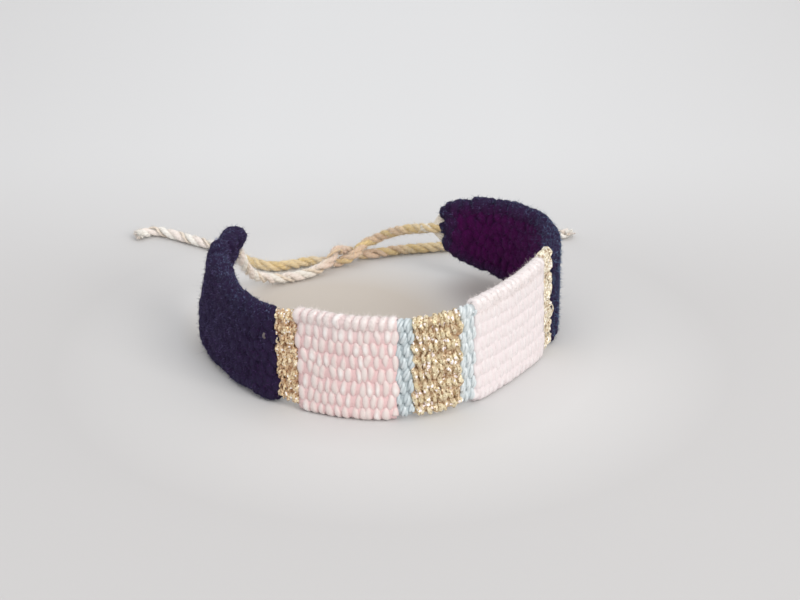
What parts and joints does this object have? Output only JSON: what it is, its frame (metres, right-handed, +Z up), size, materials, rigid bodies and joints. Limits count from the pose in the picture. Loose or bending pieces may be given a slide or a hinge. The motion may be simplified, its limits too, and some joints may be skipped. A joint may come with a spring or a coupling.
{
  "type": "woven bracelet",
  "caption": "Hand-woven tapestry bracelet in navy wool, metallic gold and pale pink and blue cotton, curled into a wrist loop and standing on its edge, with a twisted tie cord at each end.",
  "frame": {"origin": "middle of the loop's bounding box in plan, on the surface that the band stands on", "axes": "+X to the right along the loop's longest width, +Y from the front of the band towards the cords, +Z up"},
  "size_m": [0.0847, 0.0773, 0.018],
  "materials": {
    "navy_wool": "fuzzy, matt",
    "gold_lurex": "metallic thread, sparkling",
    "pink_cotton": "mercerised, satin",
    "blue_cotton": "mercerised, satin",
    "cord_cotton": "twisted cotton with a gold thread"
  },
  "bodies": {
    "root": {"navy_end_left": "navy_wool", "gold_stripe_left": "gold_lurex", "pink_panel_left": "pink_cotton", "blue_stripe_left": "blue_cotton", "gold_centre": "gold_lurex", "blue_stripe_right": "blue_cotton", "pink_panel_right": "pink_cotton", "gold_stripe_right": "gold_lurex", "navy_end_right": "navy_wool", "tie_left": "cord_cotton", "tie_right": "cord_cotton"}
  },
  "joints": []
}
